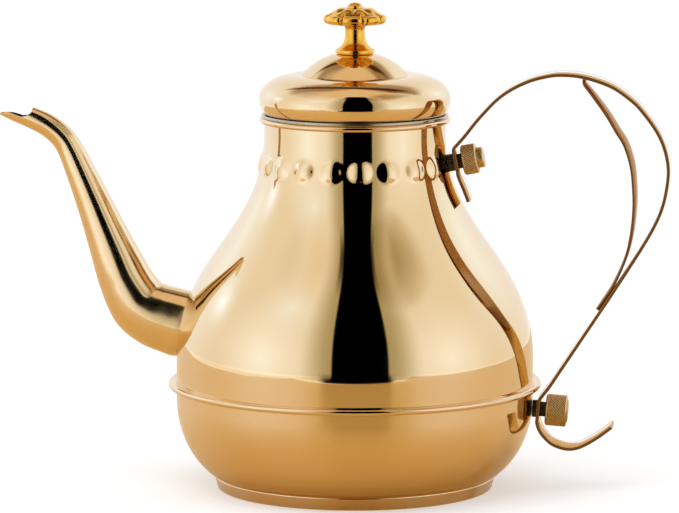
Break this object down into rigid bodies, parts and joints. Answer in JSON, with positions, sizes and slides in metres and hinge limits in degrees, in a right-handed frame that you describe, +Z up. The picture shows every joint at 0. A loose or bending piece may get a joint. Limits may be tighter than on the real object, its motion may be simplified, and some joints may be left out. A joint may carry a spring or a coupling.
{
  "type": "coffee pot",
  "caption": "Long-spouted coffee pot with a pear-shaped polished metal body, a lift-off domed lid with a flower knob, and a looped strap handle held by thumb nuts.",
  "frame": {"origin": "on the pot's axis, at the face of the foot that it stands on", "axes": "+Z up along the pot's axis, -X towards the spout's tip, +X towards the strap handle"},
  "size_m": [0.2562, 0.1414, 0.1846],
  "materials": {
    "gold_steel": "mirror polish under a gold-coloured vacuum coating",
    "bare_steel": "polished, uncoated",
    "disc_aluminium": "plain rolled",
    "bronzed_strap": "polished, bronze-coloured",
    "nut_brass": "knurled, lightly lacquered",
    "knob_gold": "cast and gold-plated",
    "black_insulator": "moulded phenolic",
    "seal_rubber": "matt silicone"
  },
  "bodies": {
    "pot": {"base_cap": "gold_steel", "base_disc": "disc_aluminium", "lower_shell": "gold_steel", "seam_ring": "gold_steel", "upper_shell": "gold_steel", "neck_rim": "gold_steel", "mouth_ring": "bare_steel", "spout": "gold_steel", "spout_strainer": "bare_steel", "upper_stud": "bare_steel", "lower_stud": "bare_steel", "upper_spacer": "black_insulator", "lower_spacer": "black_insulator", "handle_strap": "bronzed_strap", "grip_leaf": "bronzed_strap"},
    "lid": {"lid_shell": "gold_steel", "lid_skirt": "bare_steel", "lid_seal": "seal_rubber", "knob": "knob_gold", "knob_washer": "bare_steel", "knob_screw": "bare_steel"},
    "upper_bush": {"upper_bush": "black_insulator"},
    "upper_nut": {"upper_nut": "nut_brass"},
    "lower_bush": {"lower_bush": "black_insulator"},
    "lower_nut": {"lower_nut": "nut_brass"}
  },
  "joints": [
    {"name": "lid_lift", "type": "slide", "parent": "pot", "child": "lid", "axis": [0, 0, 1], "range_m": [0, 0.06]},
    {"name": "upper_nut_turn", "type": "hinge", "parent": "pot", "child": "upper_bush", "pos_m": [0.03532, 0, 0.1242], "axis": [0.9813, 0, 0.1924], "range_deg": [0, 2880]},
    {"name": "upper_nut_travel", "type": "slide", "parent": "upper_bush", "child": "upper_nut", "axis": [0.9813, 0, 0.1924], "range_m": [0, 0.0056]},
    {"name": "lower_nut_turn", "type": "hinge", "parent": "pot", "child": "lower_bush", "pos_m": [0.0675, 0, 0.03117], "axis": [0.9975, 0, -0.0713], "range_deg": [0, 2880]},
    {"name": "lower_nut_travel", "type": "slide", "parent": "lower_bush", "child": "lower_nut", "axis": [0.9975, 0, -0.0713], "range_m": [0, 0.0056]}
  ],
  "couplings": [
    {"joint": "upper_nut_travel", "follows": "upper_nut_turn", "m_per_rad": 0.00011141},
    {"joint": "lower_nut_travel", "follows": "lower_nut_turn", "m_per_rad": 0.00011141}
  ]
}
